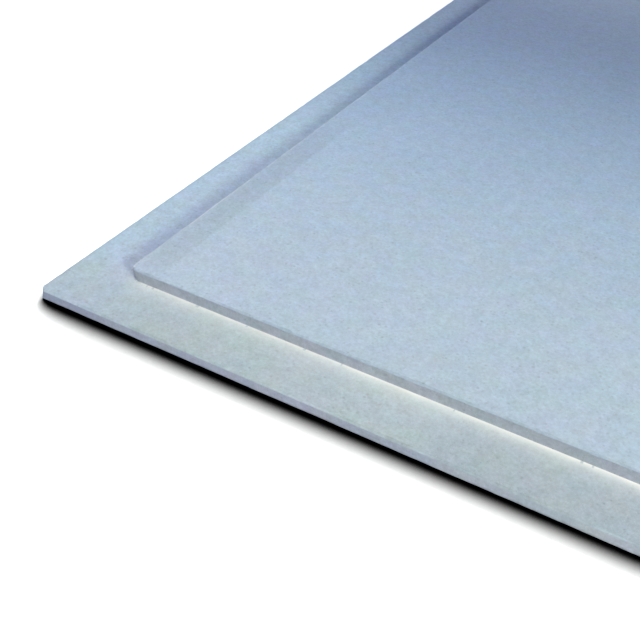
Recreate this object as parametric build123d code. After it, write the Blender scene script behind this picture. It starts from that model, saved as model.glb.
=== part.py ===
from build123d import *
import os

# Stepped drywall sheet for dry floors and linings, in millimetres, +Z up.
# Two like gypsum fibre boards are glued face to face. The upper board is shifted by one lap along both sides,
# so the lower board stands out as a tongue at the front and on the left, and the upper board hangs over by as
# much at the back and on the right. The tongue of the next sheet goes under that overhang.
# The sheet lies flat. +X runs across it and +Y along it, and the origin is in the middle of its outline,
# on the underside.

# Driving dimensions
board_length = 1500.0  # sawn length of each board, along Y
board_width = 500.0  # sawn width of each board, along X
board_thickness = 10.0  # thickness of each board
end_lap = 50.0  # shift of the upper board along Y, the width of the tongue at the front
side_lap = 50.0  # shift of the upper board along X, the width of the tongue on the left
arris = 0.5  # the blunted edge that handling leaves, wherever an edge stands free


def sawn_board(side_shift, end_shift, underside):
    """A square-sawn board lying at the height underside, with its middle shifted along X and Y."""
    blank = Box(
        board_width,
        board_length,
        board_thickness,
        align=(Align.CENTER, Align.CENTER, Align.MIN),
    )
    return Pos(side_shift, end_shift, underside) * blank


def blunt_free_edges(blank, glued_face, covered_end):
    """Chamfers a board's edges, apart from the two that the other board covers.

    They are the edges of the glued face in the inside corners of the steps, where nothing wears them.
    covered_end picks them: first (0) or last (-1) along X and along Y.
    """
    glued_edges = glued_face.edges()
    covered_edges = [
        glued_edges.sort_by(Axis.X)[covered_end],
        glued_edges.sort_by(Axis.Y)[covered_end],
    ]
    free_edges = [edge for edge in blank.edges() if edge not in covered_edges]
    return chamfer(free_edges, length=arris)


def make_lower_board():
    """The board that lies on the ground. Its tongue stands out at the front and on the left."""
    blank = sawn_board(-side_lap / 2, -end_lap / 2, 0)
    return blunt_free_edges(blank, blank.faces().sort_by(Axis.Z)[-1], covered_end=-1)


def make_upper_board():
    """The board glued on top. It hangs over at the back and on the right."""
    blank = sawn_board(side_lap / 2, end_lap / 2, board_thickness)
    return blunt_free_edges(blank, blank.faces().sort_by(Axis.Z)[0], covered_end=0)


os.makedirs("parts", exist_ok=True)
export_step(make_lower_board(), "parts/lower_board.step")
export_step(make_upper_board(), "parts/upper_board.step")
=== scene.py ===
# The looks of a stepped drywall sheet, in metres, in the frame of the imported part.
# Two gypsum fibre boards are glued face to face, and the upper one is shifted over the lower one.
# In the place of its plain solid, each gets a mesh with worn arrises, knocked corners and sawn edges,
# with one material for its faces and one for its edges.

import math
from collections import namedtuple

import bpy
import numpy as np
from mathutils import Matrix, Vector


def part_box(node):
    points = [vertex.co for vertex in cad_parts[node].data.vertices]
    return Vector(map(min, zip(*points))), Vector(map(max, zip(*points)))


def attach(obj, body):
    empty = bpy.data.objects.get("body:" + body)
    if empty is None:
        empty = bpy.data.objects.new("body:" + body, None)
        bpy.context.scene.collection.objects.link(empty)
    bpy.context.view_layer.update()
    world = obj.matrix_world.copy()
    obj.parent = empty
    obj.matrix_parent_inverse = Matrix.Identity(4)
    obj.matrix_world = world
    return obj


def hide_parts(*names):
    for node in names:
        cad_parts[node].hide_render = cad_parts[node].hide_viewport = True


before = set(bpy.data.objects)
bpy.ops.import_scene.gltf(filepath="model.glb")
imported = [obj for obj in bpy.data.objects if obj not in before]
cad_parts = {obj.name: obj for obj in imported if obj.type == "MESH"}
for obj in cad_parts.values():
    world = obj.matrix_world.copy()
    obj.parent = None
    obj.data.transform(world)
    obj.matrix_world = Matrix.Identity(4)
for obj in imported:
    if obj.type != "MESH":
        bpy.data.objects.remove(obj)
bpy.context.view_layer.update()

MM = 0.001

# Where the boards lie. The upper board's front and left sides stand on the lower board and make the step.
LOWER_LOW, LOWER_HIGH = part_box("lower_board")
UPPER_LOW, UPPER_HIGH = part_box("upper_board")

# Mesh of a board
FACE, EDGE = 0, 1  # its material slots
COLUMN_PITCH = 1.25 * MM  # along the outline
FINE_COLUMNS = 14  # beside each corner, where the columns are closer together
FINE_PITCH_SHARE = 0.25  # of the pitch, at the corner itself
HALVINGS = 4  # of the number of columns, from the outline to the middle of a face
FACE_INSETS = [2 * MM, 5 * MM, 9 * MM, 15 * MM, 25 * MM]  # one more than the halvings
ARRIS_TO_FACE = 0.6 * MM  # least width of a face's first band, behind a chip
ARRIS_BANDS = 2  # bands of faces of an arris
SIDE_ROWS = 5  # bands of faces between the two arrises
SHARP_ANGLE = math.radians(55)
PALE_ATTRIBUTE = "pale"  # above zero where a point is rubbed or carries a painted highlight, below zero where it is darker, which on the front arrises is painted shade
TINY = 1e-9  # keeps a division away from zero

# Wear of a board
COVERED = 0.04 * MM  # size of an arris that the other board covers
WORN = 0.55 * MM  # of one that stands free
RUBBED = 0.85 * MM  # of one that is handled more
SOFT = 1.4 * MM  # of one that is rubbed round
BLUNT = 3.0 * MM  # of one that the sheet is set down on
CHIPPED = (WORN, RUBBED)  # sizes of the arrises with chips
ARRIS_CHANGE = 0.33 * MM  # how far the size of a free arris goes up and down
ARRIS_WAVES = (5, 40)  # columns over which it does so
BULGE_SHARE = 0.3  # of an arris's size that is worn away at its middle, where 0.5 would be flat
CHIP_BULGE = 0.12  # how far that share goes up and down in the deepest chip
CHIP_IN = 1.8 * MM  # deepest chip, across the face
CHIP_DOWN = 0.9 * MM  # and down the edge
CHIP_SPACING = 18 * MM
CHIP_HALF_WIDTH = (1.2, 4.5)  # least and most, in columns
CHIP_SIZES = (0.25, 1.0)  # least and most, before they are squared to make small ones more common
CHIP_RAGGED = 0.25  # share of a chip's depth that goes up and down
CHIP_WAVE = 1.5  # columns over which it does so
SAW_RELIEF = 0.07 * MM
SAW_WAVE = 2.5  # columns
PIT_DEPTH = 0.25 * MM
PIT_SHARE = 0.02  # of the points of an edge
LEAST_KNOTS = 4  # of a closed row of noise
CHIP_PALER = 1.5  # times the paleness of a rubbed arris, more in the deepest chip
FACE_ARRIS_SHARE = 0.22  # share of an arris's paleness, rubbed and painted highlight, on the face beside it
EDGE_ARRIS_SHARE = 0.5  # and on the edge

# Wear of each board. Corners have a radius at the top and at the bottom, from the front left one
# counter-clockwise. Other lists of four are for the front, the right, the back and the left side.
# A rubbed arris is paler, and one with a share below zero is darker. On the upper board's left arris the
# paleness is also a painted highlight, and on the front arrises the darkening is painted shade.
Wear = namedtuple("Wear", "corners top_arris bottom_arris rubbed_shares seed")
LOWER_WEAR = Wear(
    corners=[(6.0 * MM, 3.0 * MM), (2.2 * MM, 1.4 * MM), (1.2 * MM, 2.0 * MM), (1.8 * MM, 3.0 * MM)],
    top_arris=(SOFT, COVERED, COVERED, WORN),
    bottom_arris=(BLUNT, WORN, WORN, WORN),
    # The front share below zero darkens that arris with painted shade; the left one is darker too.
    rubbed_shares=(-0.6, 0.4, 0.4, -0.4),
    seed=11,
)
UPPER_WEAR = Wear(
    corners=[(6.0 * MM, 10.0 * MM), (2.6 * MM, 1.6 * MM), (3.2 * MM, 1.8 * MM), (1.4 * MM, 1.2 * MM)],
    top_arris=(RUBBED, WORN, WORN, RUBBED),
    bottom_arris=(COVERED, WORN, WORN, COVERED),
    # The left arris's high share is partly a painted highlight along it, and the front share below zero is
    # painted shade.
    rubbed_shares=(-0.7, 0.4, 0.4, 0.9),
    seed=23,
)

# Places on a board's bake map, as shares of its side: the two faces, and the edges of the four sides unrolled
BAKE_MAP = "OFBake"
TOP_SPAN = (0.004, 0.600)
BOTTOM_SPAN = (0.608, 0.800)
EDGE_SPANS = [(0.936, 0.994), (0.808, 0.866), (0.936, 0.994), (0.872, 0.930)]
LONG_SPAN = (0.004, 0.996)
EDGE_LENGTHS = [(0.004, 0.494), LONG_SPAN, (0.506, 0.996), LONG_SPAN]
ARRIS_SPAN_SHARE = 0.06  # of an edge's width on the map, for each band of an arris


# Wear patterns round an outline

def smooth_noise(count, pitch, random):
    """A closed row of values from -1 to 1 that change smoothly over about pitch places."""
    knots = max(LEAST_KNOTS, round(count / pitch))
    values = random.uniform(-1, 1, knots)
    place = np.arange(count) * knots / count
    first = np.floor(place).astype(int)
    share = place - first
    share = share * share * (3 - 2 * share)
    return values[first % knots] * (1 - share) + values[(first + 1) % knots] * share


def chip_depths(count, random):
    """A closed row of values from 0, whole, to 1, the deepest chip."""
    depths = np.zeros(count)
    places = np.arange(count)
    for middle in random.uniform(0, count, round(count * COLUMN_PITCH / CHIP_SPACING)):
        half_width = random.uniform(*CHIP_HALF_WIDTH)
        size = random.uniform(*CHIP_SIZES) ** 2
        away = np.abs((places - middle + count / 2) % count - count / 2)
        depths = np.maximum(depths, size * np.clip(1 - (away / half_width) ** 2, 0, None))
    return depths * (1 - CHIP_RAGGED + CHIP_RAGGED * smooth_noise(count, CHIP_WAVE, random))


def column_shares(count):
    """Places of a side's columns, from 0 to just under 1, closer together beside its two corners."""
    place = np.arange(count)
    from_corner = np.minimum(place, place[::-1])
    pitch = np.clip(from_corner / FINE_COLUMNS, FINE_PITCH_SHARE, 1)
    ends = np.cumsum(pitch)
    return np.append(0, ends[:-1]) / ends[-1]


class Rim:
    """The outline of a board, cut into columns, with knocked corners."""

    def __init__(self, low, high, corners):
        self.low = low
        self.high = high
        self.corners = corners
        even = 2**HALVINGS
        across, along = (
            even * round((high[axis] - low[axis]) / COLUMN_PITCH / even) for axis in (0, 1)
        )
        self.cuts = [across, along, across, along]
        self.side = np.repeat(np.arange(len(self.cuts)), self.cuts)
        self.share = np.concatenate([column_shares(cuts) for cuts in self.cuts])
        self.count = len(self.side)

    def points(self, inset, height, step=1):
        """One point for each step columns, at this inset from the outline and this height."""
        inset = np.broadcast_to(inset, self.count)[::step]
        height = np.broadcast_to(height, self.count)[::step]
        side = self.side[::step]
        share = self.share[::step]
        left, right = self.low[0] + inset, self.high[0] - inset
        front, back = self.low[1] + inset, self.high[1] - inset
        x = np.choose(side, [left + share * (right - left), right, right - share * (right - left), left])
        y = np.choose(side, [front, front + share * (back - front), back, back - share * (back - front)])
        x, y = self.knocked(x, y, height, inset)
        return np.column_stack([x, y, height])

    def knocked(self, x, y, height, inset):
        """The same points, with those in the four corners drawn in to an arc."""
        down = (self.high[2] - height) / (self.high[2] - self.low[2])
        ends_x = (self.low[0], self.high[0], self.high[0], self.low[0])
        ends_y = (self.low[1], self.low[1], self.high[1], self.high[1])
        for end_x, end_y, (top, bottom) in zip(ends_x, ends_y, self.corners):
            radius = top + (bottom - top) * down**2
            to_middle_x = radius - np.abs(x - end_x)
            to_middle_y = radius - np.abs(y - end_y)
            reach = np.hypot(to_middle_x, to_middle_y)
            allowed = np.maximum(radius - inset, 0)
            outside = (to_middle_x > 0) & (to_middle_y > 0) & (reach > allowed)
            pull = np.where(outside, 1 - allowed / np.maximum(reach, TINY), 0)
            x = x + pull * to_middle_x * np.sign(self.middle(0) - end_x)
            y = y + pull * to_middle_y * np.sign(self.middle(1) - end_y)
        return x, y

    def middle(self, axis):
        """The middle of the board along an axis."""
        return (self.low[axis] + self.high[axis]) / 2


class Arris:
    """How far an arris is worn away at each column, across the face and down the edge, and how pale it is:
    rubbed and painted highlight above zero, darker with painted shade below.
    """

    def __init__(self, rim, sizes, rubbed_shares, random):
        count = rim.count
        size = np.array(sizes)[rim.side]
        free = size > COVERED
        change = sum(smooth_noise(count, wave, random) for wave in ARRIS_WAVES) / len(ARRIS_WAVES)
        worn = size + ARRIS_CHANGE * change * free
        chip = chip_depths(count, random) * np.isin(size, CHIPPED)
        self.across = worn + CHIP_IN * chip
        self.down = worn + CHIP_DOWN * chip
        self.bulge_share = BULGE_SHARE + CHIP_BULGE * chip * random.uniform(-1, 1, count)
        rubbed_and_painted_share = np.array(rubbed_shares)[rim.side] * free
        self.pale = np.clip(rubbed_and_painted_share * (1 + change + CHIP_PALER * chip), -1, 1)


class BoardMesh:
    """Collects the points and faces of a board, with each face's place on the bake map."""

    def __init__(self, rim):
        self.rim = rim
        self.points = []
        self.paleness = []
        self.faces = []
        self.materials = []
        self.places = []
        self.size = 0

    def loop(self, points, pale=0.0):
        """Adds a closed loop of points and returns their numbers."""
        self.points.append(points)
        self.paleness.append(np.broadcast_to(pale, len(points)))
        self.size += len(points)
        return np.arange(self.size - len(points), self.size)

    def add(self, faces, material, places):
        """Adds faces of one material, with the places of their corners on the bake map."""
        self.faces.extend(faces.tolist())
        self.materials.extend([material] * len(faces))
        self.places.append(places.reshape(-1, 2))

    def add_flat(self, faces, turned):
        """Faces of a board's top, or of its bottom where they are turned over."""
        if turned:
            faces = faces[:, ::-1]
        points = np.concatenate(self.points)[faces]
        share_x = (points[..., 0] - self.rim.low[0]) / (self.rim.high[0] - self.rim.low[0])
        share_y = (points[..., 1] - self.rim.low[1]) / (self.rim.high[1] - self.rim.low[1])
        start, end = BOTTOM_SPAN if turned else TOP_SPAN
        across = start + (end - start) * (1 - share_x if turned else share_x)
        along = LONG_SPAN[0] + (LONG_SPAN[1] - LONG_SPAN[0]) * share_y
        self.add(faces, FACE, np.stack([across, along], axis=-1))

    def flat_band(self, inner, outer, turned):
        """Four-sided faces between two loops of as many points."""
        self.add_flat(np.column_stack([inner, outer, np.roll(outer, -1), np.roll(inner, -1)]), turned)

    def halving_band(self, inner, outer, turned):
        """Triangles between a loop and one of twice as many points."""
        first, second, third = outer[::2], outer[1::2], np.roll(outer[::2], -1)
        after = np.roll(inner, -1)
        for faces in ([inner, first, second], [inner, second, after], [after, second, third]):
            self.add_flat(np.column_stack(faces), turned)

    def middle(self, rim_loop, across, along, turned):
        """A grid of four-sided faces inside a loop."""
        grid = np.empty((along + 1, across + 1), int)
        grid[0, :] = rim_loop[: across + 1]
        grid[:, -1] = rim_loop[across : across + along + 1]
        grid[-1, ::-1] = rim_loop[across + along : 2 * across + along + 1]
        grid[::-1, 0] = np.append(rim_loop[2 * across + along :], rim_loop[0])
        points = np.concatenate(self.points)
        x, y = np.meshgrid(points[grid[0, 1:-1], 0], points[grid[1:-1, -1], 1])
        inner = np.column_stack([x.ravel(), y.ravel(), np.full(x.size, points[rim_loop[0], 2])])
        grid[1:-1, 1:-1] = self.loop(inner).reshape(x.shape)
        corners = [grid[:-1, :-1], grid[:-1, 1:], grid[1:, 1:], grid[1:, :-1]]
        self.add_flat(np.column_stack([part.ravel() for part in corners]), turned)

    def edge_band(self, upper, lower, upper_share, lower_share, material):
        """Four-sided faces of the board's edges, between two shares of their width on the bake map."""
        faces = np.column_stack([upper, lower, np.roll(lower, -1), np.roll(upper, -1)])
        side = self.rim.side
        start = self.rim.share
        end = np.where(np.roll(side, -1) == side, np.roll(start, -1), 1)
        left, right = np.array(EDGE_SPANS)[side].T
        first, last = np.array(EDGE_LENGTHS)[side].T
        across = np.stack([left + (right - left) * share for share in (upper_share, lower_share)], axis=1)
        along = np.stack([first + (last - first) * share for share in (start, end)], axis=1)
        places = np.stack([across[:, [0, 1, 1, 0]], along[:, [0, 0, 1, 1]]], axis=-1)
        self.add(faces, material, places)

    def make(self, name):
        """Makes the mesh, shaded smooth except where its faces meet at a sharp angle."""
        mesh = bpy.data.meshes.new(name)
        mesh.from_pydata(np.concatenate(self.points).tolist(), [], self.faces)
        mesh.polygons.foreach_set("material_index", self.materials)
        mesh.polygons.foreach_set("use_smooth", [True] * len(self.faces))
        pale = mesh.attributes.new(PALE_ATTRIBUTE, "FLOAT", "POINT")
        pale.data.foreach_set("value", np.concatenate(self.paleness).astype(np.float32))
        bake_map = mesh.uv_layers.new(name=BAKE_MAP)
        bake_map.uv.foreach_set("vector", np.concatenate(self.places).ravel().astype(np.float32))
        mesh.set_sharp_from_angle(angle=SHARP_ANGLE)
        mesh.update()
        return mesh


def add_face(board, arris_loop, arris, height, turned):
    """Closes a face of a board, from its arris to its middle, with fewer columns the further in."""
    rim = board.rim
    inset = np.maximum(FACE_INSETS[0], arris.across + ARRIS_TO_FACE)
    outer = board.loop(rim.points(inset, height), FACE_ARRIS_SHARE * np.maximum(arris.pale, 0))
    board.flat_band(outer, arris_loop, turned)
    for halving, inset in enumerate(FACE_INSETS[1:], start=1):
        inner = board.loop(rim.points(inset, height, 2**halving))
        board.halving_band(inner, outer, turned)
        outer = inner
    across, along = (cuts // 2**HALVINGS for cuts in rim.cuts[:2])
    board.middle(outer, across, along, turned)


def board_mesh(name, low, high, wear):
    """A board with worn arrises, chips, sawn edges and knocked corners."""
    random = np.random.default_rng(wear.seed)
    rim = Rim(low, high, wear.corners)
    upper = Arris(rim, wear.top_arris, wear.rubbed_shares, random)
    lower = Arris(rim, wear.bottom_arris, wear.rubbed_shares, random)
    saw_marks = SAW_RELIEF * (1 + smooth_noise(rim.count, SAW_WAVE, random)) / 2
    board = BoardMesh(rim)

    top_loop = board.loop(rim.points(upper.across, high[2]), upper.pale)
    bulge = rim.points(upper.across * upper.bulge_share, high[2] - upper.down * upper.bulge_share)
    loops = [top_loop, board.loop(bulge, upper.pale)]
    for row in range(SIDE_ROWS + 1):
        share = row / SIDE_ROWS
        height = (high[2] - upper.down) * (1 - share) + (low[2] + lower.down) * share
        pits = PIT_DEPTH * (random.uniform(0, 1, rim.count) < PIT_SHARE) * (0 < row < SIDE_ROWS)
        pale = upper.pale * (row == 0) + lower.pale * (row == SIDE_ROWS)
        loops.append(board.loop(rim.points(saw_marks + pits, height), EDGE_ARRIS_SHARE * pale))
    bulge = rim.points(lower.across * lower.bulge_share, low[2] + lower.down * lower.bulge_share)
    bottom_loop = board.loop(rim.points(lower.across, low[2]), lower.pale)
    loops += [board.loop(bulge, lower.pale), bottom_loop]

    arris_shares = np.arange(ARRIS_BANDS + 1) * ARRIS_SPAN_SHARE
    row_shares = np.linspace(arris_shares[-1], 1 - arris_shares[-1], SIDE_ROWS + 1)
    shares = [*arris_shares[:-1], *row_shares, *(1 - arris_shares[-2::-1])]
    bands = zip(loops, loops[1:], shares, shares[1:])
    for number, (above, below, start, end) in enumerate(bands):
        board.edge_band(above, below, start, end, FACE if number < ARRIS_BANDS else EDGE)
    add_face(board, top_loop, upper, high[2], turned=False)
    add_face(board, bottom_loop, lower, low[2], turned=True)
    return board.make(name)


# Materials. A ramp is a pair: where a change starts and where it is complete. Levels are what it changes
# from and to. A shift sets the patterns of one surface apart from those of the others.

# Sanded gypsum fibre
Pattern = namedtuple("Pattern", "size octaves rough contrast")
CLOUDS = Pattern(size=140 * MM, octaves=3.0, rough=0.5, contrast=0.08)
MOTTLES = Pattern(size=9 * MM, octaves=3.0, rough=0.6, contrast=0.31)
GRAINS = Pattern(size=2.6 * MM, octaves=4.0, rough=0.65, contrast=0.55)
NOISE_MIDDLE = 0.5
CAST_SIZE = 22 * MM  # of the patches that are redder or bluer
CAST_OCTAVES = 2.0
CAST_RAMP = (0.3, 0.7)
RED_CAST = 0.025  # how far red goes up and down
BLUE_CAST = 0.028
GREEN_SHARE = 0.3  # of both, by which green goes the other way, so that the casts change the light less
FIBRE_TINT = (0.74, 0.78, 0.80, 1)
FIBRE_LENGTH = 5 * MM
FIBRE_WIDTH = 0.35 * MM
FIBRE_TURNS = (0.3, 1.4, 2.5)  # radians
FIBRE_OCTAVES = 1.0
FIBRE_RAMP = (0.62, 0.72)
FIBRE_SHARE = 0.20  # of their tint
FIBRE_HEIGHT = 0.25  # times the grain's
Specks = namedtuple("Specks", "spacing radius filled_share")
FINE_SPECKS = Specks(spacing=4.2 * MM, radius=1.5 * MM, filled_share=0.6)
COARSE_SPECKS = Specks(spacing=12 * MM, radius=1.9 * MM, filled_share=0.45)
LEAST_SPECK = 0.3  # share of that radius that the smallest speck has
SPECK_CORE = 0.5  # share of a speck's own radius inside which it is whole
SPECK_TINT = (0.14, 0.165, 0.19, 1)
SPECK_SHARE = 0.20  # of their tint
SPECK_DEPTH = 0.5  # of the coarse ones, times the grain's height
LEAST_ROUGHNESS = 0.72
MOTTLE_ROUGHER = 0.2  # added to that where the mottle is highest

# Wear, painted arris highlight and shade, and relief of a surface
PALE_TINT = (0.72, 0.79, 0.86, 1)  # where rubbing or a chip lays the gypsum bare, and on the painted highlight of the upper board's left arris
UPPER_PALENESS = 0.8  # share of that tint on the most rubbed arris of the upper board's face, which is also a painted highlight on its left arris
OTHER_PALENESS = 0.4  # and on that of any other surface
DARKEST_ARRIS_SHARE = 0.8  # share of its colour that the most darkened arris keeps; on the front arrises this is painted shade
SPECULAR = 0.25
BUMP_STRENGTH = 0.6
FACE_RELIEF = 0.10 * MM
EDGE_RELIEF = 0.2 * MM

# The upper board's face, with a greyer band along its left edge and painted shade that darkens it to the
# right
UPPER_TINT = (0.486, 0.592, 0.71, 1)
# darker to the right: painted shade where the light falls off
UPPER_FALLOFF_TINT = (0.4535, 0.555, 0.65, 1)
UPPER_FALLOFF_RAMP = (0.0, 340 * MM)  # from the left edge
BAND_TINT = (0.428, 0.523, 0.626, 1)
BAND_EDGE_RAMP = (28 * MM, 24 * MM)  # from the left edge
BAND_START_RAMP = (-10 * MM, 30 * MM)  # from the front edge
BAND_END_RAMP = (350 * MM, 230 * MM)  # from there too
UPPER_SHIFT = 0.37

# The lower board's face, with its left and its front tongue
LEFT_TINT = (0.478, 0.61, 0.735, 1)
# paler towards the back: painted light, where the light falls off less than on the top
LEFT_FAR_LIGHT_TINT = (0.555, 0.68, 0.77, 1)
FAR_RAMP = (-50 * MM, -380 * MM)  # forward of the step
STEP_SHADE_CAST = (1.02, 0.965, 1.03, 1)  # painted shade: the purple tint of the step's shadow on the left tongue, beside the step
FAR_STEP_SHADE_CAST = (0.995, 0.965, 0.95, 1)
STEP_SHADE_RAMP = (30 * MM, 16 * MM)  # to the left of the step
LEFT_MOTTLING = 1.55  # times the contrast of clouds and mottles
# The front tongue's greyer, warmer tint is painted light, for the warmer light that falls on it
FRONT_TINT = (0.455, 0.54, 0.58, 1)
# darker to the right: painted shade where the light falls off
FRONT_FALLOFF_TINT = (0.393, 0.465, 0.51, 1)
FRONT_FALLOFF_RAMP = (20 * MM, 90 * MM)  # along X
FRONT_RAMP = (-25 * MM, 5 * MM)  # forward of the step
FRONT_CORNER_RAMP = (15 * MM, 110 * MM)  # from the board's left edge
FRONT_CORNER_LEVELS = (0.55, 1.0)
FRONT_MOTTLING = 1.30
LOWER_SHIFT = 4.71

# Painted light on the front tongue: a pale glow, a painted highlight, with a crisp line at the foot of the
# step
PAINTED_GLOW_TINT = (0.90, 0.90, 0.87, 1)
PAINTED_GLOW_MOST = 0.96  # share of that tint
PAINTED_GLOW_SHARE = 0.82  # of it at the foot, before the streaks change it
PAINTED_GLOW_FADE = 5.8 * MM  # distance over which it falls to 1/e
PAINTED_GLOW_RIGHT_RAMP = (-150 * MM, 150 * MM)  # along X
PAINTED_GLOW_RIGHT_LEVELS = (0.92, 1.15)
PAINTED_GLOW_START_RAMP = (-8 * MM, 18 * MM)  # from the upper board's left edge
PAINTED_GLOW_COVERED_RAMP = (-6 * MM, -1 * MM)  # forward of the step
STREAK_SIZES = (26 * MM, 9 * MM, 1.0)
STREAK_OCTAVES = 3.0
STREAK_RAMP = (0.25, 0.75)
STREAK_LEVELS = (0.85, 1.15)
LINE_RAMP = (1.8 * MM, 0.7 * MM)  # forward of the step
LINE_SHARE = 0.66  # least share of the tint on the line
NICK_SIZES = (4.5 * MM, 1.0, 1.0)
NICK_SHIFT = (0.3, 0, 0)
NICK_OCTAVES = 1.0
NICK_RAMP = (0.66, 0.72)
NICK_REACH_RAMP = (3 * MM, 1.5 * MM)  # forward of the step
NICK_DEPTH = 0.7

# The boards' sawn edges, with tints of their own at the front
EDGE_TINT = (0.40, 0.435, 0.497, 1)
FrontEdge = namedtuple("FrontEdge", "left_end left right")
LOWER_FRONT_EDGE = FrontEdge(
    left_end=(0.333, 0.38, 0.47, 1), left=(0.38, 0.412, 0.496, 1), right=(0.406, 0.455, 0.497, 1)
)
# The upper edge's right tint is darker: painted shade where the light falls off to the right.
UPPER_FRONT_EDGE = FrontEdge(
    left_end=(0.425, 0.455, 0.50, 1), left=(0.425, 0.455, 0.50, 1), right=(0.39, 0.425, 0.465, 1)
)
LEFT_END_RAMP = (47 * MM, 63 * MM)  # from the board's left edge
EDGE_RIGHT_RAMP = (20 * MM, 120 * MM)  # along X
EDGE_FRONT_RAMP = (15 * MM, 5 * MM)  # from the board's front edge
EDGE_MOTTLING = 1.6
SAW_SIZES = (0.9 * MM, 0.9 * MM, 14 * MM)
SAW_OCTAVES = 2.0
SAW_DARKEST = 0.93
SAW_CONTRAST = 0.14
LOWER_EDGE_SHIFT = 2.3
UPPER_EDGE_SHIFT = 7.9

# Sockets of a Mix node for colours
MIX_SHARE, MIX_FIRST, MIX_SECOND = 0, 6, 7
MIX_RESULT = 2


class Shader:
    """A material's nodes, with short calls that add a node and link what feeds it."""

    def __init__(self, name):
        self.material = bpy.data.materials.new(name)
        self.material.use_nodes = True
        self.tree = self.material.node_tree
        self.surface = self.tree.nodes["Principled BSDF"]
        self.place = self.node("ShaderNodeTexCoord").outputs["Object"]
        split = self.node("ShaderNodeSeparateXYZ", Vector=self.place)
        self.x, self.y, self.z = split.outputs

    def node(self, kind, settings=None, **inputs):
        """Adds a node with these settings and feeds its inputs by their names."""
        made = self.tree.nodes.new(kind)
        for name, value in (settings or {}).items():
            setattr(made, name, value)
        for name, value in inputs.items():
            self.feed(made.inputs[name], value)
        return made

    def feed(self, socket, value):
        """Links an input to an output, or gives it a plain value."""
        if isinstance(value, bpy.types.NodeSocket):
            self.tree.links.new(value, socket)
        else:
            socket.default_value = value

    def math(self, operation, *values):
        """The result of one Math node, with these values in this order."""
        made = self.node("ShaderNodeMath", {"operation": operation})
        for socket, value in zip(made.inputs, values):
            self.feed(socket, value)
        return made.outputs[0]

    def product(self, first, *others):
        """All of these multiplied together."""
        for other in others:
            first = self.math("MULTIPLY", first, other)
        return first

    def ramp(self, value, start, end, low=0.0, high=1.0):
        """Low up to start, high from end on, and a smooth change between them."""
        made = self.node("ShaderNodeMapRange", {"interpolation_type": "SMOOTHSTEP"})
        for socket, given in zip(made.inputs, (value, start, end, low, high)):
            self.feed(socket, given)
        return made.outputs[0]

    def mix(self, share, first, second, blend="MIX"):
        """The first colour, blended with this share of the second."""
        made = self.node("ShaderNodeMix", {"data_type": "RGBA", "blend_type": blend})
        self.feed(made.inputs[MIX_SHARE], share)
        self.feed(made.inputs[MIX_FIRST], first)
        self.feed(made.inputs[MIX_SECOND], second)
        return made.outputs[MIX_RESULT]

    def stretched(self, sizes, turn=0.0, shift=(0.0, 0.0, 0.0)):
        """The place in units of these sizes, turned about Z first."""
        turned = self.node("ShaderNodeMapping", {"vector_type": "POINT"}, Vector=self.place)
        turned.inputs["Rotation"].default_value = (0, 0, turn)
        turned.inputs["Location"].default_value = shift
        scaled = self.node("ShaderNodeVectorMath", {"operation": "DIVIDE"})
        self.feed(scaled.inputs[0], turned.outputs[0])
        scaled.inputs[1].default_value = sizes
        return scaled.outputs[0]

    def noise(self, place, octaves, rough=0.5):
        """Soft noise from about 0 to 1, one wave to a unit of the place."""
        made = self.node(
            "ShaderNodeTexNoise", Vector=place, Scale=1.0, Detail=octaves, Roughness=rough
        )
        return made.outputs[0]

    def specks(self, kind, shift):
        """Small round spots, one at most in each cell, from 0 outside to 1 inside."""
        cells = self.node(
            "ShaderNodeTexVoronoi",
            {"feature": "F1"},
            Vector=self.stretched((kind.spacing,) * 3, shift=shift),
            Scale=1.0,
        )
        chance = self.node("ShaderNodeSeparateColor", Color=cells.outputs["Color"])
        kept = self.math("LESS_THAN", chance.outputs[0], kind.filled_share)
        size = self.math("MULTIPLY_ADD", chance.outputs[1], 1 - LEAST_SPECK, LEAST_SPECK)
        edge = self.math("MULTIPLY", size, kind.radius / kind.spacing)
        inside = self.ramp(cells.outputs["Distance"], edge, self.math("MULTIPLY", edge, SPECK_CORE))
        return self.math("MULTIPLY", inside, kept)

    def fibres(self, shift):
        """Short thin streaks in a few directions, from 0 between them to 1 on them."""
        total = 0.0
        for number, turn in enumerate(FIBRE_TURNS):
            sizes = (FIBRE_WIDTH, FIBRE_LENGTH, FIBRE_WIDTH)
            place = self.stretched(sizes, turn, shift=(shift, number, 0))
            streaks = self.ramp(self.noise(place, FIBRE_OCTAVES), *FIBRE_RAMP)
            total = self.math("ADD", streaks, total)
        return self.math("MINIMUM", total, 1.0)


def shades(shader, shift, mottling):
    """The light of clouds, mottles and grain together, and the last two as they are."""
    light = 1.0
    patterns = []
    for number, pattern in enumerate((CLOUDS, MOTTLES, GRAINS), start=1):
        place = shader.stretched((pattern.size,) * 3, shift=(shift, shift * number, 0))
        patterns.append(shader.noise(place, pattern.octaves, pattern.rough))
        contrast = pattern.contrast
        if pattern is not GRAINS:
            contrast = shader.math("MULTIPLY", mottling, contrast)
        centred = shader.math("SUBTRACT", patterns[-1], NOISE_MIDDLE)
        step = shader.math("MULTIPLY_ADD", centred, contrast, 1.0)
        light = shader.math("MULTIPLY", step, light)
    mottle, grain = patterns[1:]
    return light, mottle, grain


def colour_cast(shader, shift):
    """What to multiply a colour by for patches that are a little redder or bluer."""
    casts = []
    for apart, reach in ((shift, RED_CAST), (-shift, BLUE_CAST)):
        place = shader.stretched((CAST_SIZE,) * 3, shift=(shift, 0, apart))
        casts.append(shader.ramp(shader.noise(place, CAST_OCTAVES), *CAST_RAMP, -reach, reach))
    red, blue = casts
    cast = shader.node(
        "ShaderNodeCombineColor",
        Red=shader.math("ADD", red, 1.0),
        Green=shader.math("MULTIPLY_ADD", shader.math("ADD", red, blue), -GREEN_SHARE, 1.0),
        Blue=shader.math("ADD", blue, 1.0),
    )
    return cast.outputs[0]


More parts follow.
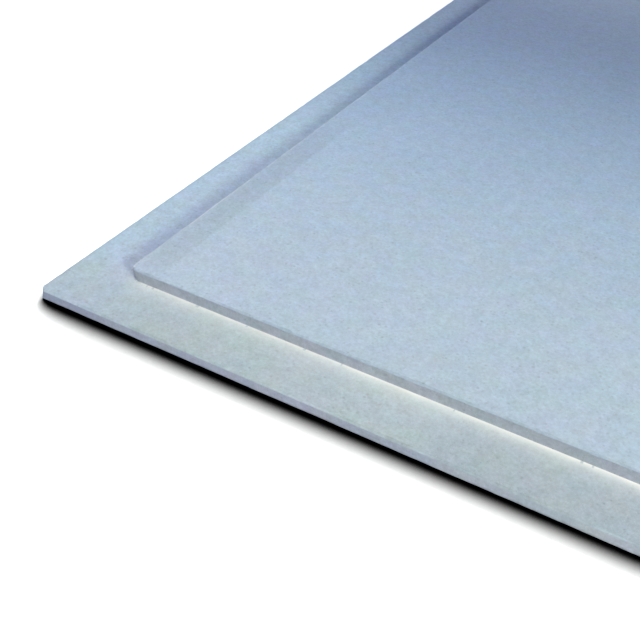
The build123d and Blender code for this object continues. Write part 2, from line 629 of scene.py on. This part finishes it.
def gypsum(shader, tint, shift, mottling=1.0):
    """Colour, roughness and height of gypsum fibre: cloudy, grainy, flecked with fibres and dark specks."""
    light, mottle, grain = shades(shader, shift, mottling)
    colour = shader.mix(1.0, tint, light, "MULTIPLY")
    colour = shader.mix(1.0, colour, colour_cast(shader, shift), "MULTIPLY")

    fibre = shader.fibres(shift)
    colour = shader.mix(shader.math("MULTIPLY", fibre, FIBRE_SHARE), colour, FIBRE_TINT)
    fine = shader.specks(FINE_SPECKS, (shift, 0, 0))
    coarse = shader.specks(COARSE_SPECKS, (0, shift, 0))
    for specks in (fine, coarse):
        colour = shader.mix(shader.math("MULTIPLY", specks, SPECK_SHARE), colour, SPECK_TINT)

    height = shader.math("MULTIPLY_ADD", fibre, FIBRE_HEIGHT, grain)
    height = shader.math("SUBTRACT", height, shader.math("MULTIPLY", coarse, SPECK_DEPTH))
    roughness = shader.math("MULTIPLY_ADD", mottle, MOTTLE_ROUGHER, LEAST_ROUGHNESS)
    return colour, roughness, height


def rubbed_and_painted(shader, colour, share):
    """The colour, paler on rubbed arrises and chips and where a highlight is painted, and darker where shade
    is painted, as the mesh marks them.
    """
    pale = shader.node("ShaderNodeAttribute", {"attribute_name": PALE_ATTRIBUTE}).outputs["Fac"]
    # arrises with a share below zero are darker: painted shade on the front ones
    colour = shader.mix(1.0, colour, shader.ramp(pale, -1.0, 0.0, DARKEST_ARRIS_SHARE, 1.0), "MULTIPLY")
    return shader.mix(shader.math("MULTIPLY", pale, share), colour, PALE_TINT)


def finish_surface(shader, colour, roughness, height, relief):
    """Feeds the surface and returns its material, with the height as relief in the light."""
    bump = shader.node("ShaderNodeBump", Strength=BUMP_STRENGTH, Distance=relief, Height=height)
    shader.feed(shader.surface.inputs["Base Color"], colour)
    shader.feed(shader.surface.inputs["Roughness"], roughness)
    shader.feed(shader.surface.inputs["Normal"], bump.outputs[0])
    shader.surface.inputs["Specular IOR Level"].default_value = SPECULAR
    return shader.material


def beyond(edge, distances):
    """The places that lie these distances past an edge."""
    return [edge + distance for distance in distances]


def upper_face_material():
    """A greyer band runs along the left edge from the front, and painted shade makes the face a little darker
    to the right.
    """
    shader = Shader("upper_board_face")
    from_left = shader.math("SUBTRACT", shader.x, UPPER_LOW[0])
    from_front = shader.math("SUBTRACT", shader.y, UPPER_LOW[1])
    band = shader.product(
        shader.ramp(from_left, *BAND_EDGE_RAMP),
        shader.ramp(from_front, *BAND_START_RAMP),
        shader.ramp(from_front, *BAND_END_RAMP),
    )
    # painted shade: darker to the right
    tint = shader.mix(shader.ramp(from_left, *UPPER_FALLOFF_RAMP), UPPER_TINT, UPPER_FALLOFF_TINT)
    tint = shader.mix(band, tint, BAND_TINT)
    colour, roughness, height = gypsum(shader, tint, UPPER_SHIFT)
    colour = rubbed_and_painted(shader, colour, UPPER_PALENESS)
    return finish_surface(shader, colour, roughness, height, FACE_RELIEF)


def painted_glow(shader, forward):
    """Painted light in front of the step: a pale glow with a crisp, nicked line at its foot."""
    away = shader.math("MAXIMUM", forward, 0.0)
    fade = shader.math("POWER", math.e, shader.math("DIVIDE", away, -PAINTED_GLOW_FADE))
    streaks = shader.noise(shader.stretched(STREAK_SIZES), STREAK_OCTAVES)
    streaks = shader.ramp(streaks, *STREAK_RAMP, *STREAK_LEVELS)
    to_right = shader.ramp(shader.x, *PAINTED_GLOW_RIGHT_RAMP, *PAINTED_GLOW_RIGHT_LEVELS)
    glow = shader.product(fade, PAINTED_GLOW_SHARE, to_right, streaks)
    line = shader.product(shader.ramp(away, *LINE_RAMP), to_right, LINE_SHARE)
    nicks = shader.noise(shader.stretched(NICK_SIZES, shift=NICK_SHIFT), NICK_OCTAVES)
    nick = shader.product(
        shader.ramp(nicks, *NICK_RAMP), shader.ramp(away, *NICK_REACH_RAMP), NICK_DEPTH
    )
    return shader.product(
        shader.math("MAXIMUM", glow, line),
        shader.math("SUBTRACT", 1.0, nick),
        shader.ramp(shader.x, *beyond(UPPER_LOW[0], PAINTED_GLOW_START_RAMP)),
        shader.ramp(forward, *PAINTED_GLOW_COVERED_RAMP),
    )


def lower_face_material():
    """The front tongue is painted greyer and warmer than the left one for the light on it, with a painted
    glow along the foot of the step and painted shade beside the step on the left.
    """
    shader = Shader("lower_board_face")
    on_top = shader.math("GREATER_THAN", shader.z, (LOWER_LOW[2] + LOWER_HIGH[2]) / 2)
    forward = shader.math("SUBTRACT", UPPER_LOW[1], shader.y)
    from_corner = beyond(LOWER_LOW[0], FRONT_CORNER_RAMP)
    at_front = shader.product(
        on_top,
        shader.ramp(forward, *FRONT_RAMP),
        shader.ramp(shader.x, *from_corner, *FRONT_CORNER_LEVELS),
    )
    # painted shade makes the front tongue darker to the right
    front = shader.mix(shader.ramp(shader.x, *FRONT_FALLOFF_RAMP), FRONT_TINT, FRONT_FALLOFF_TINT)
    far = shader.ramp(forward, *FAR_RAMP)
    # painted light: the left tongue paler towards the back
    left = shader.mix(far, LEFT_TINT, LEFT_FAR_LIGHT_TINT)
    # painted shade: the purple tint of the step's shadow beside it
    foot = shader.mix(far, STEP_SHADE_CAST, FAR_STEP_SHADE_CAST)
    beside_step = shader.math("SUBTRACT", UPPER_LOW[0], shader.x)
    in_step_shade = shader.math("MULTIPLY", on_top, shader.ramp(beside_step, *STEP_SHADE_RAMP))
    left = shader.mix(in_step_shade, left, foot, "MULTIPLY")
    # the front tongue's greyer, warmer tint is painted light
    tint = shader.mix(at_front, left, front)
    mottling = shader.math("MULTIPLY_ADD", at_front, FRONT_MOTTLING - LEFT_MOTTLING, LEFT_MOTTLING)
    colour, roughness, height = gypsum(shader, tint, LOWER_SHIFT, mottling)
    # painted light: the pale glow along the foot of the step
    painted_foot_glow = shader.math("MULTIPLY", on_top, painted_glow(shader, forward))
    colour = shader.mix(shader.math("MINIMUM", painted_foot_glow, PAINTED_GLOW_MOST), colour, PAINTED_GLOW_TINT)
    colour = rubbed_and_painted(shader, colour, OTHER_PALENESS)
    return finish_surface(shader, colour, roughness, height, FACE_RELIEF)


def edge_material(name, low, front, shift):
    """A sawn edge: rougher than the face, with upright saw marks. The front one has tints of its own."""
    shader = Shader(name)
    at_end = shader.ramp(shader.x, *beyond(low[0], LEFT_END_RAMP))
    front_tint = shader.mix(at_end, front.left_end, front.left)
    front_tint = shader.mix(shader.ramp(shader.x, *EDGE_RIGHT_RAMP), front_tint, front.right)
    at_front = shader.ramp(shader.y, *beyond(low[1], EDGE_FRONT_RAMP))
    tint = shader.mix(at_front, EDGE_TINT, front_tint)
    colour, roughness, height = gypsum(shader, tint, shift, EDGE_MOTTLING)
    saw = shader.noise(shader.stretched(SAW_SIZES, shift=(shift, 0, 0)), SAW_OCTAVES)
    saw_light = shader.math("MULTIPLY_ADD", saw, SAW_CONTRAST, SAW_DARKEST)
    colour = shader.mix(1.0, colour, saw_light, "MULTIPLY")
    height = shader.math("ADD", height, saw)
    colour = rubbed_and_painted(shader, colour, OTHER_PALENESS)
    return finish_surface(shader, colour, roughness, height, EDGE_RELIEF)


# Boards

def add_board(node, mesh, materials):
    """A board's mesh and materials in the place of its solid."""
    for material in materials:
        mesh.materials.append(material)
    piece = bpy.data.objects.new(mesh.name, mesh)
    bpy.context.scene.collection.objects.link(piece)
    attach(piece, "root")
    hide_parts(node)


add_board(
    "lower_board",
    board_mesh("lower_board_worn", LOWER_LOW, LOWER_HIGH, LOWER_WEAR),
    [
        lower_face_material(),
        edge_material("lower_board_edge", LOWER_LOW, LOWER_FRONT_EDGE, LOWER_EDGE_SHIFT),
    ],
)
add_board(
    "upper_board",
    board_mesh("upper_board_worn", UPPER_LOW, UPPER_HIGH, UPPER_WEAR),
    [
        upper_face_material(),
        edge_material("upper_board_edge", UPPER_LOW, UPPER_FRONT_EDGE, UPPER_EDGE_SHIFT),
    ],
)


# Floor, light and camera

FLOOR_SIZE = 60.0
FLOOR_GREY = 0.8
FLOOR_SEEN_MORE = 0.4  # added to that where the camera or a reflection sees the floor
FLOOR_GLOW = 0.9  # and its own light there, so that it is white where the lamps don't reach
CONTACT_REACH = 60 * MM
CONTACT_SAMPLES = 48
CONTACT_LEAN = math.radians(45)  # of the view of the sky that the contact shadow goes by
CONTACT_TURN = math.radians(30)  # of that lean, from the back to the left
CONTACT_BLACK = (0.505, 0.395)  # share of open sky at which the floor is black, at the left and the right
CONTACT_WHITE = 0.96  # and at which it is white
CONTACT_FADE = 2.0  # power of the change between them

SKY = (0.82, 1.0, 2.06, 1)
SKY_STRENGTH = 0.142
BACKDROP = (1, 1, 1, 1)
BACKDROP_STRENGTH = 1.0
NEUTRAL = (0.96, 1.0, 0.894)
WARM = (1.0, 0.948, 0.739)
COOL = (0.833, 1.0, 0.996)
KEY_PLACE = (2.232, -2.105, 1.061)
KEY_TARGET = (-0.2, -0.7, 0.01)
KEY_SIZE = (0.7, 0.7)
KEY_POWER = 64.8
STRIP_SIZE = (1.6, 0.3)
STRIP_HEIGHT = 1.2
NEAR_Y = -0.74
NEAR_POWER = 1.463
NEAR_SPREAD = math.radians(44)
MIDDLE_Y = -0.35
MIDDLE_POWER = 0.614
MIDDLE_SPREAD = math.radians(36)
FAR_SIZE = (1.6, 1.0)
FAR_HEIGHT = 0.7
FAR_Y = 0.565
FAR_POWER = 1.1
FAR_SPREAD = math.radians(39.3)

IMAGE_PIXELS = 640
SENSOR_WIDTH = 36.0  # in millimetres, as the focal length is
FOCAL_PIXELS = 983.5
CLIP_START = 0.01
CAMERA_PLACE = Vector((0.2124, -1.2112, 0.4682))
CAMERA_AZIMUTH = math.radians(28.50)
CAMERA_ELEVATION = math.radians(37.64)
CAMERA_ROLL = math.radians(2.94)


def seen_share(tree):
    """1 where the camera, a reflection or a view through glass looks, and 0 for other light."""
    rays = tree.nodes.new("ShaderNodeLightPath").outputs
    seen = rays["Is Camera Ray"]
    for other in ("Is Glossy Ray", "Is Transmission Ray"):
        either = tree.nodes.new("ShaderNodeMath")
        either.operation = "MAXIMUM"
        tree.links.new(seen, either.inputs[0])
        tree.links.new(rays[other], either.inputs[1])
        seen = either.outputs[0]
    return seen


def floor_material():
    """White to the camera, but darker close to the sheet, most of all in front of it."""
    shader = Shader("floor")
    seen = seen_share(shader.tree)
    leaning = shader.node(
        "ShaderNodeCombineXYZ",
        X=-math.sin(CONTACT_LEAN) * math.sin(CONTACT_TURN),
        Y=math.sin(CONTACT_LEAN) * math.cos(CONTACT_TURN),
        Z=math.cos(CONTACT_LEAN),
    )
    sky = shader.node(
        "ShaderNodeAmbientOcclusion",
        {"samples": CONTACT_SAMPLES},
        Distance=CONTACT_REACH,
        Normal=leaning.outputs[0],
    )
    black = shader.ramp(shader.x, LOWER_LOW[0], UPPER_HIGH[0], *CONTACT_BLACK)
    open_share = shader.node("ShaderNodeMapRange", Value=sky.outputs["AO"])
    shader.feed(open_share.inputs["From Min"], black)
    shader.feed(open_share.inputs["From Max"], CONTACT_WHITE)
    shade = shader.math("POWER", open_share.outputs[0], CONTACT_FADE)
    shown = shader.math("MAXIMUM", shade, shader.math("SUBTRACT", 1.0, seen))
    whiter = shader.math("MULTIPLY_ADD", seen, FLOOR_SEEN_MORE, FLOOR_GREY)
    plain = shader.node("ShaderNodeBsdfDiffuse", Color=shader.math("MULTIPLY", whiter, shown))
    glow = shader.node("ShaderNodeEmission", Strength=shader.product(seen, shade, FLOOR_GLOW))
    both = shader.node("ShaderNodeAddShader")
    shader.feed(both.inputs[0], plain.outputs[0])
    shader.feed(both.inputs[1], glow.outputs[0])
    shader.feed(shader.tree.nodes["Material Output"].inputs["Surface"], both.outputs[0])
    return shader.material


def add_floor():
    """A plain, flat floor that keeps the sheet's shadow."""
    half = FLOOR_SIZE / 2
    corners = [(-half, -half, 0), (half, -half, 0), (half, half, 0), (-half, half, 0)]
    mesh = bpy.data.meshes.new("floor")
    mesh.from_pydata(corners, [], [(0, 1, 2, 3)])
    floor = bpy.data.objects.new("floor", mesh)
    bpy.context.scene.collection.objects.link(floor)
    mesh.materials.append(floor_material())


def set_world():
    """Soft light from all round, with a plain white backdrop for the camera and for reflections."""
    world = bpy.data.worlds.new("studio")
    bpy.context.scene.world = world
    world.use_nodes = True
    tree = world.node_tree
    light = tree.nodes["Background"]
    light.inputs["Color"].default_value = SKY
    light.inputs["Strength"].default_value = SKY_STRENGTH
    backdrop = tree.nodes.new("ShaderNodeBackground")
    backdrop.inputs["Color"].default_value = BACKDROP
    backdrop.inputs["Strength"].default_value = BACKDROP_STRENGTH
    pick = tree.nodes.new("ShaderNodeMixShader")
    tree.links.new(seen_share(tree), pick.inputs[0])
    tree.links.new(light.outputs[0], pick.inputs[1])
    tree.links.new(backdrop.outputs[0], pick.inputs[2])
    tree.links.new(pick.outputs[0], tree.nodes["World Output"].inputs["Surface"])


def add_lamp(name, place, target, size, power, colour, spread=math.pi):
    """A soft box of this width and height, aimed at a point, with a narrower beam below a spread of pi."""
    light = bpy.data.lights.new(name, "AREA")
    light.shape = "RECTANGLE"
    light.size, light.size_y = size
    light.energy = power
    light.color = colour
    light.spread = spread
    lamp = bpy.data.objects.new(name, light)
    bpy.context.scene.collection.objects.link(lamp)
    lamp.location = place
    lamp.rotation_mode = "QUATERNION"
    lamp.rotation_quaternion = (Vector(target) - Vector(place)).to_track_quat("-Z", "Y")
    lamp.visible_camera = False


def add_overhead(name, y, height, size, power, colour, spread):
    """A soft box that hangs over the sheet and points straight down."""
    add_lamp(name, (0, y, height), (0, y, 0), size, power, colour, spread)


def add_camera():
    """The photograph's viewpoint, found from the edges of the two boards."""
    data = bpy.data.cameras.new("camera")
    data.sensor_width = SENSOR_WIDTH
    data.lens = FOCAL_PIXELS / IMAGE_PIXELS * SENSOR_WIDTH
    data.clip_start, data.clip_end = CLIP_START, 2 * FLOOR_SIZE
    camera = bpy.data.objects.new("camera", data)
    bpy.context.scene.collection.objects.link(camera)
    level = math.cos(CAMERA_ELEVATION)
    back = Vector(
        (
            math.sin(CAMERA_AZIMUTH) * level,
            -math.cos(CAMERA_AZIMUTH) * level,
            math.sin(CAMERA_ELEVATION),
        )
    )
    turn = (-back).to_track_quat("-Z", "Y").to_matrix() @ Matrix.Rotation(CAMERA_ROLL, 3, "Z")
    camera.matrix_world = Matrix.Translation(CAMERA_PLACE) @ turn.to_4x4()
    bpy.context.scene.camera = camera


add_floor()
set_world()
add_lamp("key", KEY_PLACE, KEY_TARGET, KEY_SIZE, KEY_POWER, NEUTRAL)
add_overhead("near_strip", NEAR_Y, STRIP_HEIGHT, STRIP_SIZE, NEAR_POWER, WARM, NEAR_SPREAD)
add_overhead("middle_strip", MIDDLE_Y, STRIP_HEIGHT, STRIP_SIZE, MIDDLE_POWER, COOL, MIDDLE_SPREAD)
add_overhead("far_panel", FAR_Y, FAR_HEIGHT, FAR_SIZE, FAR_POWER, WARM, FAR_SPREAD)
add_camera()
bpy.context.scene.view_settings.view_transform = "Standard"
